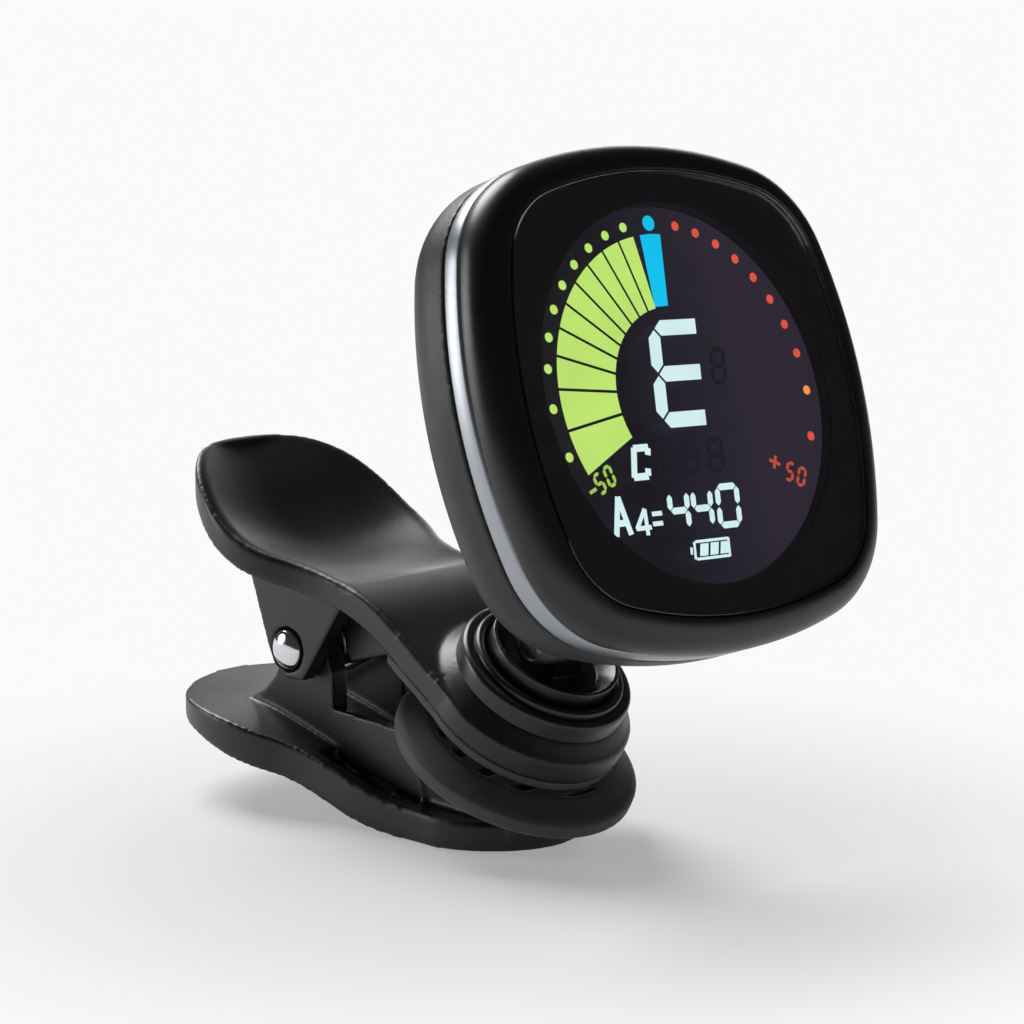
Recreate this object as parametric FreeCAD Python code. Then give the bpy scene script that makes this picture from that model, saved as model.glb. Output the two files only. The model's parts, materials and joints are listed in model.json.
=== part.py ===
import FreeCAD, Part
import math
import os

# Clip-on tuner: a display head on a tilting and swivelling neck, carried by a sprung clip.
# Millimetres. +X points to the nose of the clip, +Z up, and the clip's mid-plane is Y = 0.
# The origin is on the surface that the lower arm's belly rests on.

V = FreeCAD.Vector
Y_AXIS = V(0, 1, 0)

# Head housing: a rounded square of side arcs and corner arcs, drawn round its own centre.
HEAD_HALF = 22.4
CORNER_CENTRE = 10.0
CORNER_RADIUS = 11.0
BEZEL_DEPTH = 3.5
BAND_DEPTH = 2.1
REAR_DEPTH = 8.0
BEZEL_ROUND = 2.5
REAR_ROUND = 6.3
SHELL_WALL = 1.5
BAND_WALL = 1.4
WINDOW_INSET = 2.8
WINDOW_GAP = 0.08
WINDOW_THICK = 1.0
MASK_THICK = 0.2
APERTURE_RADIUS = 16.8
LCD_RADIUS = 16.7
LCD_FACE = -2.1
LCD_THICK = 1.2
BACKLIGHT_THICK = 1.0
FRAME_WALL = 1.0
BOARD_TOP = -5.4
BOARD_THICK = 1.0
BOARD_INSET = 4.6
SCREW_AT = 14.5
SCREW_RADIUS = 0.9
SCREW_HEAD_RADIUS = 1.6
BOSS_RADIUS = 2.1
KEY_ROW = 10.5
KEY_SPACING = 8.5
KEY_TRAVEL = 0.3
KEY_PROUD = 0.5
KEY_CLEAR = 0.15
SOCKET_WIDE = 8.9
SOCKET_THICK = 3.2
SOCKET_LONG = 7.0
SOCKET_Y = -2.0
SOCKET_X = 21.6

# Neck: the swivel's axis leans forward, and the hinge lies across it.
AXIS_LEAN = 33.0
HEAD_TILT = 19.5
HEAD_TURN = -4.1
NECK_FOOT = V(10.0, 0, 18.4)
HINGE_RISE = 1.4
HINGE_BELOW_CENTRE = 17.35
HINGE_BEHIND_WINDOW = 22.9
BARREL_RADIUS = 2.2
KNUCKLE_HALF = 1.6
LUG_INNER = 1.75
LUG_OUTER = 4.0
HINGE_PIN_RADIUS = 0.9
RUNNING_GAP = 0.05
DISC_RADIUS = 6.15
DISC_LIP = 0.35
DISC_DEPTH = 2.4
DISH_FLOOR = -1.5
COLLAR_RADIUS = 8.3
COLLAR_TOP = -1.9
COLLAR_STEP_RADIUS = 7.3
COLLAR_STEP_TOP = -1.3
COLLAR_FOOT = -3.8
NOSE_RADIUS = 9.7
NOSE_TOP = -5.1
NOSE_UNDER = -7.7
SPINDLE_RADIUS = 2.4

# Clip.
PIVOT = V(-18.3, 0, 15.1)
PIN_RADIUS = 1.4
PIN_HEAD_RADIUS = 1.9
ARM_THICK = 2.6
LINER_THICK = 0.9
PADDLE_X = -22.2
PADDLE_RADIUS = 11.8
WAIST_HALF = 9.0
WAIST_X = -8.0
EAR_OUTER = 7.6
EAR_INNER = 5.9
LOWER_EAR_OUTER = 5.6
LOWER_EAR_INNER = 3.6
LOWER_PADDLE_X = -23.6
LOWER_PADDLE_RADIUS = 12.2
PAD_LEAN = 27.0
PAD_CENTRE = V(4.33, 0, 6.97)
PAD_RADIUS = 11.6
SPRING_WIRE = 0.9
SPRING_COIL_RADIUS = 2.1
SPRING_TURNS = 4.3
SPRING_START = 45.0
UPPER_LEG = 9.4
LOWER_LEG = 7.6

DISH_SECTIONS = [(-32.6, 4.2, 0.5), (-31.0, 6.6, 1.1), (-28.0, 9.1, 1.7), (-24.5, 10.5, 1.9),
                 (-20.5, 10.5, 1.7), (-16.5, 9.2, 1.1), (-12.5, 8.2, 0.5), (-9.0, 7.9, 0.12)]
UPPER_TOP = [(-34.0, 33.2), (-30.0, 31.9), (-26.0, 29.3), (-22.0, 26.6), (-16.0, 24.4), (-10.0, 23.1),
             (-5.0, 21.6), (-1.5, 19.6), (3.0, 16.8), (8.5, 13.3)]
LOWER_UNDER = [(-36.2, 8.3), (-32.0, 7.0), (-27.0, 6.2), (-22.3, 4.9), (-15.3, 3.1), (-10.8, 1.6),
               (-6.4, 0.4), (-3.0, 0.0), (3.0, 0.0), (11.0, 0.0)]
LOWER_TOP = [(-36.2, 9.5), (-32.0, 9.1), (-27.0, 8.9), (-22.2, 8.3), (-17.6, 7.2), (-13.0, 5.9), (-8.6, 4.5),
             (-4.2, 3.3), (2.0, 2.8), (11.0, 2.6)]


def head_place():
    """Housing frame (x across, y up, z out of the display) to the part's frame."""
    hinge = NECK_FOOT + neck_axis() * HINGE_RISE
    stand_up = FreeCAD.Rotation(V(1, 1, 1), 120)
    turn = FreeCAD.Rotation(neck_axis(), HEAD_TURN) * FreeCAD.Rotation(Y_AXIS, -HEAD_TILT) * stand_up
    hinge_here = V(0, -HINGE_BELOW_CENTRE, -HINGE_BEHIND_WINDOW)
    return FreeCAD.Placement(hinge, turn) * FreeCAD.Placement(hinge_here * -1, FreeCAD.Rotation())


def neck_axis():
    lean = math.radians(AXIS_LEAN)
    return V(math.sin(lean), 0, math.cos(lean))


def neck_place(turn=0.0):
    """Neck frame (z along the swivel's axis, x forward) to the part's frame."""
    lean = FreeCAD.Rotation(neck_axis(), turn) * FreeCAD.Rotation(Y_AXIS, AXIS_LEAN)
    return FreeCAD.Placement(NECK_FOOT, lean)


def placed(shape, place):
    made = shape.copy()
    made.Placement = place.multiply(made.Placement)
    return made


def fuse(shapes):
    return shapes[0].multiFuse(shapes[1:]).removeSplitter()


def arc(centre, radius, first, middle, last):
    points = [V(centre[0] + radius * math.cos(math.radians(a)),
                centre[1] + radius * math.sin(math.radians(a)), 0) for a in (first, middle, last)]
    return Part.Arc(*points).toShape()


def rounded_square(inset, z):
    """The housing's outline, taken in by inset, as a wire at height z."""
    reach = HEAD_HALF - CORNER_CENTRE
    side_radius = ((CORNER_RADIUS**2 - CORNER_CENTRE**2 - reach**2) / (2 * (CORNER_RADIUS - reach)))
    side_centre = HEAD_HALF - side_radius
    spread = math.degrees(math.atan2(CORNER_CENTRE, CORNER_CENTRE - side_centre))
    edges = []
    for quarter in range(4):
        turn = 90 * quarter
        c, s = math.cos(math.radians(turn)), math.sin(math.radians(turn))
        edges.append(arc((side_centre * c, side_centre * s), side_radius - inset,
                         turn - spread, turn, turn + spread))
        corner = (CORNER_CENTRE * (c - s), CORNER_CENTRE * (s + c))
        edges.append(arc(corner, CORNER_RADIUS - inset, turn + spread, turn + 45, turn + 90 - spread))
    wire = Part.Wire(Part.__sortEdges__(edges))
    wire.translate(V(0, 0, z))
    return wire


def slab(inset, z_low, z_high):
    return Part.Face(rounded_square(inset, z_low)).extrude(V(0, 0, z_high - z_low))


def rounded_end(solid, z, radius, widest):
    """Rounds the outer edge of solid at height z."""
    edges = [e for e in solid.Edges
             if abs(e.BoundBox.ZMin - z) < 1e-4 and abs(e.BoundBox.ZMax - z) < 1e-4
             and max(abs(e.BoundBox.XMax), abs(e.BoundBox.XMin),
                     abs(e.BoundBox.YMax), abs(e.BoundBox.YMin)) > widest]
    return solid.makeFillet(radius, edges)


def rod(radius, x, y, z_low, z_high):
    return Part.makeCylinder(radius, z_high - z_low, V(x, y, z_low))


def brick(x, y, z_low, size_x, size_y, size_z):
    return Part.makeBox(size_x, size_y, size_z, V(x - size_x / 2, y - size_y / 2, z_low))


def corners(at):
    return [(sx * at, sy * at) for sx in (-1, 1) for sy in (-1, 1)]


def turned(profile):
    """Revolves a closed (radius, height) outline about Z."""
    points = [V(r, 0, z) for r, z in profile + profile[:1]]
    return Part.Face(Part.makePolygon(points)).revolve(V(0, 0, 0), V(0, 0, 1), 360)


# ---------------------------------------------------------------- head, in the housing frame
BAND_TOP = -BEZEL_DEPTH
BAND_FOOT = BAND_TOP - BAND_DEPTH
REAR_FACE = BAND_FOOT - REAR_DEPTH
REAR_INNER = REAR_FACE + SHELL_WALL
BOARD_FOOT = BOARD_TOP - BOARD_THICK
KEY_HEIGHT = 1.2


def front_bezel():
    body = rounded_end(slab(0, BAND_TOP, 0), 0, BEZEL_ROUND, HEAD_HALF / 2)
    window_hole = slab(WINDOW_INSET, -WINDOW_THICK - MASK_THICK, 1)
    body = body.cut(window_hole).cut(rod(LCD_RADIUS + FRAME_WALL + 0.4, 0, 0, BAND_TOP - 1, 0))
    for x, y in corners(SCREW_AT):
        body = body.fuse(rod(BOSS_RADIUS, x, y, BAND_FOOT + 0.1, -WINDOW_THICK - MASK_THICK - 0.2))
        body = body.cut(rod(SCREW_RADIUS, x, y, BAND_FOOT - 1, -1.6))
    return body.removeSplitter()


def window_lens():
    return slab(WINDOW_INSET + WINDOW_GAP, -WINDOW_THICK, 0)


def window_mask():
    sheet = slab(WINDOW_INSET + WINDOW_GAP, -WINDOW_THICK - MASK_THICK, -WINDOW_THICK)
    return sheet.cut(rod(APERTURE_RADIUS, 0, 0, -2, 0))


def lcd_panel():
    return rod(LCD_RADIUS, 0, 0, LCD_FACE - LCD_THICK, LCD_FACE)


def backlight_plate():
    top = LCD_FACE - LCD_THICK
    return rod(LCD_RADIUS, 0, 0, top - BACKLIGHT_THICK, top)


def lcd_frame():
    floor_top = LCD_FACE - LCD_THICK - BACKLIGHT_THICK
    cup = rod(LCD_RADIUS + FRAME_WALL, 0, 0, floor_top - 0.8, -WINDOW_THICK - MASK_THICK)
    return cup.cut(rod(LCD_RADIUS, 0, 0, floor_top, 0))


def lcd_connectors():
    """Two elastomer strips that carry the panel's signals past the backlight to the board."""
    strips = [brick(0, side * (LCD_RADIUS - 1.6), BOARD_TOP, 9, 0.9, 0.29) for side in (-1, 1)]
    return Part.makeCompound(strips)


def circuit_board():
    board = slab(BOARD_INSET, BOARD_FOOT, BOARD_TOP)
    for x, y in corners(SCREW_AT):
        board = board.cut(rod(BOSS_RADIUS + 0.3, x, y, BOARD_FOOT - 1, BOARD_TOP + 1))
    return board


def main_chip():
    return brick(-9.5, 4.4, BOARD_FOOT - 1.0, 6, 6, 1.0)


def key_places():
    return [(-KEY_SPACING, KEY_ROW), (0, KEY_ROW), (KEY_SPACING, KEY_ROW)]


def key_switches():
    switches = []
    for x, y in key_places():
        base = brick(x, y, BOARD_FOOT - KEY_HEIGHT + 0.4, 4.2, 4.2, KEY_HEIGHT - 0.4)
        plunger = rod(1.1, x, y, BOARD_FOOT - KEY_HEIGHT, BOARD_FOOT - 0.2)
        switches.append(base.fuse(plunger).removeSplitter())
    return Part.makeCompound(switches)


def socket_block(grow, start, length):
    """A stadium-shaped block along X, as large as the charging socket's shell, grown all round."""
    half = SOCKET_THICK / 2 + grow
    reach = (SOCKET_WIDE - SOCKET_THICK) / 2
    middle_z = BOARD_FOOT - SOCKET_THICK / 2 - 0.1
    ends = [Part.makeCylinder(half, length, V(start, SOCKET_Y + side * reach, middle_z), V(1, 0, 0))
            for side in (-1, 1)]
    middle = Part.makeBox(length, 2 * reach, 2 * half, V(start, SOCKET_Y - reach, middle_z - half))
    return fuse(ends + [middle])


def charging_socket():
    start = SOCKET_X - SOCKET_LONG
    shell = socket_block(0, start, SOCKET_LONG)
    hollow = socket_block(-0.35, start + 1.0, SOCKET_LONG)
    tongue_z = BOARD_FOOT - SOCKET_THICK / 2 - 0.45
    tongue = brick(SOCKET_X - 3.6, SOCKET_Y, tongue_z, 5.0, 6.6, 0.7)
    return shell.cut(hollow).fuse(tongue).removeSplitter()


def battery():
    return brick(-3.5, -5.5, BOARD_FOOT - 4.6, 20, 12, 4.0)


def piezo_sensor():
    disc = rod(5.0, -9.0, -4.0, REAR_INNER, REAR_INNER + 0.25)
    return disc.fuse(rod(3.6, -9.0, -4.0, REAR_INNER + 0.25, REAR_INNER + 0.45)).removeSplitter()


def trim_band():
    ring = slab(0, BAND_FOOT, BAND_TOP)
    return ring.cut(slab(BAND_WALL, BAND_FOOT - 1, BAND_TOP + 1))


def button_shape(place, grow):
    """The power key is round, and the two beside it are short bars."""
    x, y = place
    low, high = REAR_FACE - KEY_PROUD, REAR_INNER
    if x == 0:
        return rod(2.4 + grow, x, y, low - grow, high + grow)
    ends = [rod(1.5 + grow, x, y + dy, low - grow, high + grow) for dy in (-1.1, 1.1)]
    return fuse(ends + [brick(x, y, low - grow, 3.0 + 2 * grow, 2.2, high - low + 2 * grow)])


def button(place):
    x, y = place
    stem_end = BOARD_FOOT - KEY_HEIGHT - KEY_TRAVEL - 0.05
    cap = button_shape(place, 0)
    flange = rod(3.2, x, y, REAR_INNER + 0.05, REAR_INNER + 0.75)
    neck = rod(1.2, x, y, REAR_INNER - 0.2, stem_end)
    return fuse([cap, rod(1.3, x, y, REAR_INNER - 0.5, REAR_INNER + 0.3), flange, neck])


def lug_profile(radius_grow=0.0):
    """Side outline of the lug, in the housing's y-z plane, from the rear shell to the hinge."""
    hinge_y, hinge_z = -HINGE_BELOW_CENTRE, -HINGE_BEHIND_WINDOW
    r = BARREL_RADIUS + radius_grow
    top = [V(0, hinge_y + r, hinge_z), V(0, -12.6, REAR_FACE - 2.2), V(0, -9.6, REAR_FACE + 0.6)]
    root = [V(0, -9.6, REAR_INNER + 0.2), V(0, -19.0, REAR_INNER + 2.6), V(0, -20.2, REAR_FACE + 3.6)]
    bottom = [V(0, -20.0, REAR_FACE - 2.5), V(0, hinge_y - r, hinge_z)]
    edges = [Part.Arc(bottom[-1], V(0, hinge_y, hinge_z - r), top[0]).toShape()]
    outline = top + root + bottom
    edges += [Part.LineSegment(a, b).toShape() for a, b in zip(outline, outline[1:])]
    return Part.Wire(Part.__sortEdges__(edges))


def lug():
    neck = Part.Face(lug_profile()).extrude(V(2 * LUG_OUTER, 0, 0)).translated(V(-LUG_OUTER, 0, 0))
    hinge = V(-LUG_OUTER - 1, -HINGE_BELOW_CENTRE, -HINGE_BEHIND_WINDOW)
    slot_reach = 4.6
    slot = Part.makeCylinder(slot_reach, 2 * LUG_INNER, V(-LUG_INNER, hinge.y, hinge.z), V(1, 0, 0))
    bore = Part.makeCylinder(HINGE_PIN_RADIUS, 2 * LUG_OUTER + 2, hinge, V(1, 0, 0))
    head_well = Part.makeCylinder(1.55, 2.1, hinge, V(1, 0, 0))
    nut_well = Part.makeCylinder(1.45, 2.0, V(LUG_OUTER - 1.0, hinge.y, hinge.z), V(1, 0, 0))
    return neck.cut(slot).cut(bore).cut(head_well).cut(nut_well)


def rear_cover():
    outer = rounded_end(slab(0, REAR_FACE, BAND_FOOT), REAR_FACE, REAR_ROUND, 3.0)
    hollow = slab(SHELL_WALL, REAR_INNER, BAND_FOOT + 1)
    hollow = rounded_end(hollow, REAR_INNER, REAR_ROUND - SHELL_WALL, 3.0)
    shell = outer.cut(hollow)
    posts = [rod(BOSS_RADIUS, x, y, REAR_INNER - 0.4, BAND_FOOT - 0.1) for x, y in corners(SCREW_AT)]
    shell = fuse([shell] + [post.common(outer) for post in posts])
    well = SCREW_HEAD_RADIUS + 0.15
    wells = [rod(well, x, y, REAR_FACE - 1, REAR_FACE + 3.4) for x, y in corners(SCREW_AT)]
    shafts = [rod(SCREW_RADIUS, x, y, REAR_FACE - 1, BAND_FOOT + 1) for x, y in corners(SCREW_AT)]
    keys = [button_shape(place, KEY_CLEAR) for place in key_places()]
    shell = shell.fuse(lug().cut(hollow))
    for tool in wells + shafts + keys + [socket_block(0.12, SOCKET_X - SOCKET_LONG, 12)]:
        shell = shell.cut(tool)
    return shell.removeSplitter()


def case_screws():
    screws = []
    for x, y in corners(SCREW_AT):
        top = REAR_FACE + 3.4
        head = rod(SCREW_HEAD_RADIUS, x, y, top - 1.1, top)
        head = head.cut(brick(x, y, top - 1.2, 2.2, 0.45, 0.65)).cut(brick(x, y, top - 1.2, 0.45, 2.2, 0.65))
        screws.append(head.fuse(rod(SCREW_RADIUS, x, y, top - 0.1, -2.2)).removeSplitter())
    return Part.makeCompound(screws)


def hinge_screw():
    hinge = V(-LUG_OUTER, -HINGE_BELOW_CENTRE, -HINGE_BEHIND_WINDOW)
    head = Part.makeCylinder(1.5, 0.8, hinge + V(0.3, 0, 0), V(1, 0, 0))
    shaft = Part.makeCylinder(HINGE_PIN_RADIUS, 2 * LUG_OUTER - 0.7, hinge + V(0.5, 0, 0), V(1, 0, 0))
    slot = Part.makeBox(0.45, 3.4, 0.5, hinge + V(0.2, -1.7, -0.25))
    return head.fuse(shaft).cut(slot).removeSplitter()


def hinge_nut():
    start = V(LUG_OUTER - 1.0, -HINGE_BELOW_CENTRE, -HINGE_BEHIND_WINDOW)
    nut = Part.makeCylinder(1.45, 0.8, start, V(1, 0, 0))
    return nut.cut(Part.makeCylinder(HINGE_PIN_RADIUS, 3, start - V(1, 0, 0), V(1, 0, 0)))


# ---------------------------------------------------------------- neck, in the neck frame
def swivel_disc():
    lip = DISC_RADIUS - DISC_LIP
    dish = turned([(0, DISH_FLOOR), (lip - 1.3, DISH_FLOOR), (lip, 0), (DISC_RADIUS, 0),
                   (DISC_RADIUS, -DISC_DEPTH), (SPINDLE_RADIUS, -DISC_DEPTH), (SPINDLE_RADIUS, -5.3),
                   (1.1, -5.3), (1.1, -3.2), (0, -3.2)])
    barrel = Part.makeCylinder(BARREL_RADIUS, 2 * KNUCKLE_HALF, V(0, -KNUCKLE_HALF, HINGE_RISE), Y_AXIS)
    stand = Part.makeBox(2 * BARREL_RADIUS, 2 * KNUCKLE_HALF, HINGE_RISE - DISH_FLOOR + 0.3,
                         V(-BARREL_RADIUS, -KNUCKLE_HALF, DISH_FLOOR - 0.3))
    bore = Part.makeCylinder(HINGE_PIN_RADIUS + RUNNING_GAP, 20, V(0, -10, HINGE_RISE), Y_AXIS)
    return fuse([dish, barrel, stand]).cut(bore)


def swivel_screw():
    slots = [brick(0, 0, -7.2, 3.0, 0.6, 0.7), brick(0, 0, -7.2, 0.6, 3.0, 0.7)]
    head = rod(2.3, 0, 0, -7.1, -5.9).cut(slots[0]).cut(slots[1])
    return head.fuse(rod(1.1, 0, 0, -6.0, -3.2)).removeSplitter()


def swivel_washer():
    return rod(2.9, 0, 0, -5.9, -5.45).cut(rod(1.1, 0, 0, -7, -4))


def swivel_collar():
    pocket = DISC_RADIUS + 0.3
    return turned([(SPINDLE_RADIUS + RUNNING_GAP, -DISC_DEPTH - 0.15), (pocket, -DISC_DEPTH - 0.15),
                   (pocket, COLLAR_STEP_TOP - 0.2), (pocket + 0.2, COLLAR_STEP_TOP),
                   (COLLAR_STEP_RADIUS - 0.15, COLLAR_STEP_TOP),
                   (COLLAR_STEP_RADIUS, COLLAR_STEP_TOP - 0.15),
                   (COLLAR_STEP_RADIUS, COLLAR_TOP), (COLLAR_RADIUS - 0.35, COLLAR_TOP),
                   (COLLAR_RADIUS, COLLAR_TOP - 0.35), (COLLAR_RADIUS, COLLAR_FOOT),
                   (SPINDLE_RADIUS + RUNNING_GAP, COLLAR_FOOT)])


# ---------------------------------------------------------------- clip, in the part's frame
def curve_through(points):
    curve = Part.BSplineCurve()
    curve.interpolate([V(x, 0, z) for x, z in points])
    return curve


def offset_points(curve, distance, count):
    """Points at a distance below a curve in the X-Z plane, measured square to it."""
    first, last = curve.FirstParameter, curve.LastParameter
    points = []
    for i in range(count):
        at = first + (last - first) * i / (count - 1)
        along = curve.tangent(at)[0]
        points.append(curve.value(at) + V(along.z, 0, -along.x) * distance)
    return points


def strip(curve, near, far, half_width):
    """A strip of an arm between two distances from a curve, across the clip's full width."""
    sides = []
    for distance in (near, far):
        side = Part.BSplineCurve()
        side.interpolate(offset_points(curve, distance, 14))
        sides.append(side.toShape())
    first, second = sides
    ends = [Part.LineSegment(first.Vertexes[i].Point, second.Vertexes[i].Point).toShape() for i in (0, 1)]
    outline = Part.Wire(Part.__sortEdges__([first, second] + ends))
    face = Part.Face(outline)
    return face.extrude(V(0, 2 * half_width, 0)).translated(V(0, -half_width, 0))


def plan_prism(centre_x, radius, front_x, front_half, bulge, inset=0.0):
    """The arm's outline seen from above, as a tall prism: a round paddle, a waist and a bulged front."""
    r, waist, front = radius - inset, WAIST_HALF - inset, front_half - inset
    bend = math.radians(60)
    start = V(centre_x + r * math.cos(bend), r * math.sin(bend), 0)
    side = Part.BSplineCurve()
    side.interpolate(Points=[start, V(WAIST_X, waist, 0), V(front_x, front, 0)],
                     InitialTangent=V(math.sin(bend), -math.cos(bend), 0) * 8,
                     FinalTangent=V(1, 0.04, 0) * 8)
    near_side = side.toShape()
    far_side = near_side.mirror(V(0, 0, 0), Y_AXIS)
    back = Part.Arc(start, V(centre_x - r, 0, 0), V(start.x, -start.y, 0)).toShape()
    tip = V(front_x + bulge - inset, 0, 0)
    front_edge = Part.Arc(V(front_x, front, 0), tip, V(front_x, -front, 0)).toShape()
    wire = Part.Wire(Part.__sortEdges__([back, near_side, front_edge, far_side]))
    return Part.Face(wire).extrude(V(0, 0, 60)).translated(V(0, 0, -10))


def plate(points, y_low, y_high):
    """A flat plate with corners at (x, z), between two Y planes."""
    corners_here = [V(x, y_low, z) for x, z in points + points[:1]]
    return Part.Face(Part.makePolygon(corners_here)).extrude(V(0, y_high - y_low, 0))


def both_sides(points, inner, outer):
    return [plate(points, inner, outer), plate(points, -outer, -inner)]


def cross_rod(radius, at, y_low, y_high):
    return Part.makeCylinder(radius, y_high - y_low, V(at.x, y_low, at.z), Y_AXIS)


def height_at(curve, x):
    """Height of a curve in the X-Z plane at x."""
    line = Part.LineSegment(V(x, 0, -50), V(x, 0, 80)).toShape()
    return curve.toShape().distToShape(line)[1][0][0].z


def thumb_dish(curve):
    """Cutter for the paddle's spoon-shaped top: arcs across the paddle, lofted along it."""
    sections = []
    for x, half, depth in DISH_SECTIONS:
        z = height_at(curve, x)
        left, right = V(x, -half, z), V(x, half, z)
        arc_across = Part.Arc(left, V(x, 0, z - depth), right).toShape()
        lid = Part.makePolygon([right, right + V(0, 0, 4), left + V(0, 0, 4), left])
        sections.append(Part.Wire([arc_across] + lid.Edges))
    return Part.makeLoft(sections, True)


def upper_arm():
    curve = curve_through(UPPER_TOP)
    plan = plan_prism(PADDLE_X, PADDLE_RADIUS, 7.5, 9.6, 0.6)
    tongue = strip(curve, 0, ARM_THICK, 14).common(plan)
    nose = turned([(0, COLLAR_FOOT), (COLLAR_RADIUS - 0.2, COLLAR_FOOT), (NOSE_RADIUS - 0.4, NOSE_TOP),
                   (NOSE_RADIUS, NOSE_TOP - 0.3), (NOSE_RADIUS, NOSE_UNDER), (0, NOSE_UNDER)])
    nose = placed(nose, neck_place())
    ears = both_sides([(-23.9, 26.5), (-23.4, 21.3), (-21.3, 15.6), (-20.2, 13.4), (-18.3, 12.2),
                       (-16.2, 12.4), (-15.3, 13.6), (-9.6, 21.8), (-12, 23.4)], EAR_INNER, EAR_OUTER)
    ribs = both_sides([(-13.4, 22.6), (-13.4, 15.4), (-12.6, 14.3), (-4.4, 16.6), (-3.6, 19.8)], 3.3, 4.7)
    web = [plate([(-5.8, 20.6), (-5.8, 16.4), (-4.4, 16.8), (-4.0, 20.2)], -4.7, 4.7)]
    under = strip(curve, 1.2, 40, 14)
    ears = [ear.common(under) for ear in ears + ribs + web]
    body = fuse([tongue, nose] + ears)
    body = body.cut(thumb_dish(curve))
    body = body.cut(cross_rod(PIN_RADIUS, PIVOT, -20, 20))
    body = body.cut(cross_rod(PIN_HEAD_RADIUS + 0.25, PIVOT, -EAR_OUTER - 1, -EAR_OUTER + 0.9))
    body = body.cut(cross_rod(PIN_HEAD_RADIUS + 0.25, PIVOT, EAR_OUTER - 0.9, EAR_OUTER + 1))
    hollows = [placed(rod(COLLAR_RADIUS + 0.02, 0, 0, COLLAR_FOOT, 4), neck_place()),
               placed(rod(SPINDLE_RADIUS + RUNNING_GAP, 0, 0, -9, 0), neck_place()),
               placed(rod(3.1, 0, 0, -9, -5.4), neck_place())]
    for hollow in hollows:
        body = body.cut(hollow)
    return body.removeSplitter()


def upper_liner():
    """Rubber skin bonded under the nose and the front of the waist."""
    curve = curve_through(UPPER_TOP)
    plan = plan_prism(PADDLE_X, PADDLE_RADIUS, 7.5, 9.6, 0.6, inset=0.2)
    tongue = strip(curve, ARM_THICK, ARM_THICK + LINER_THICK, 14).common(plan)
    tongue = tongue.common(Part.makeBox(20, 30, 40, V(-3.0, -15, 0)))
    grip = placed(rod(NOSE_RADIUS - 0.2, 0, 0, NOSE_UNDER - LINER_THICK, NOSE_UNDER), neck_place())
    body = tongue.fuse(grip).removeSplitter()
    keep_out = placed(rod(NOSE_RADIUS + 5, 0, 0, NOSE_UNDER, 10), neck_place())
    return body.cut(keep_out.common(Part.makeBox(30, 40, 60, V(1.0, -20, -10)))).cut(upper_arm())


def pad_place():
    return FreeCAD.Placement(PAD_CENTRE, FreeCAD.Rotation(Y_AXIS, PAD_LEAN))


def lower_arm():
    under, top = curve_through(LOWER_UNDER), curve_through(LOWER_TOP)
    ends = [Part.LineSegment(under.value(at), top.value(end)).toShape()
            for at, end in ((under.FirstParameter, top.FirstParameter),
                            (under.LastParameter, top.LastParameter))]
    outline = Part.Wire(Part.__sortEdges__([under.toShape(), top.toShape()] + ends))
    plate_across = Part.Face(outline).extrude(V(0, 30, 0)).translated(V(0, -15, 0))
    plan = plan_prism(LOWER_PADDLE_X, LOWER_PADDLE_RADIUS, 1.5, 8.3, 8.8)
    tongue = plate_across.common(plan)
    floor_plan = plan_prism(LOWER_PADDLE_X, LOWER_PADDLE_RADIUS, 1.5, 8.3, 8.8, inset=1.6)
    tray = strip(top, -20, 1.1, 14).common(floor_plan)
    tray = tray.common(Part.makeBox(11.5, 30, 30, V(-13.5, -15, 0)))
    seat = turned([(0, 0.0), (8.8, 0.0), (8.8, -0.6), (6.6, -2.4), (0, -2.4)])
    seat = placed(seat, pad_place())
    toe = plate([(-6.0, 2.0), (-3.0, 0.5), (8.6, 0.5), (9.6, 2.5), (9.0, 4.5), (-6.5, 9.0)], -5.2, 5.2)
    toe = toe.cut(placed(rod(16, 0, 0, 0, 20), pad_place()))
    ears = both_sides([(-27.5, 7.0), (-26.0, 9.0), (-24.0, 10.0), (-22.4, 11.6), (-21.4, 14.2),
                       (-20.4, 16.6), (-19.0, 17.9), (-17.4, 17.9), (-15.6, 16.2), (-14.2, 13.2),
                       (-14.2, 5.0)], LOWER_EAR_INNER, LOWER_EAR_OUTER)
    ribs = both_sides([(-15.0, 5.0), (-15.0, 9.8), (-3.2, 9.2), (-1.5, 3.0)],
                      LOWER_EAR_INNER + 0.9, LOWER_EAR_OUTER)
    lining = strip(under, -40, -1.0, 14)
    inner = [piece.common(lining) for piece in ears + ribs]
    body = fuse([tongue.cut(tray), toe, seat] + inner)
    body = body.cut(cross_rod(PIN_RADIUS + RUNNING_GAP, PIVOT, -20, 20))
    return body.cut(Part.makeBox(80, 60, 10, V(-40, -30, -10))).removeSplitter()


def lower_pad():
    """Round rubber pad, with a rounded rim, a sloping shoulder and a sunken, ribbed face."""
    face, rim, sunk = 2.8, 1.5, 0.5
    zone = PAD_RADIUS - 3.0
    pad = turned([(0, 0.0), (PAD_RADIUS - 0.4, 0.0), (PAD_RADIUS, 0.4), (PAD_RADIUS, rim),
                  (PAD_RADIUS - 0.4, rim + 0.35), (zone + 0.5, face), (0, face)])
    grooves = rod(zone, 0, 0, face - sunk, face + 1)
    for i in range(6):
        x = -7.2 + 2.9 * i
        grooves = grooves.cut(Part.makeBox(1.6, 40, 4, V(x - 0.8, -20, face - sunk - 1)))
    return placed(pad.cut(grooves), pad_place())


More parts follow.
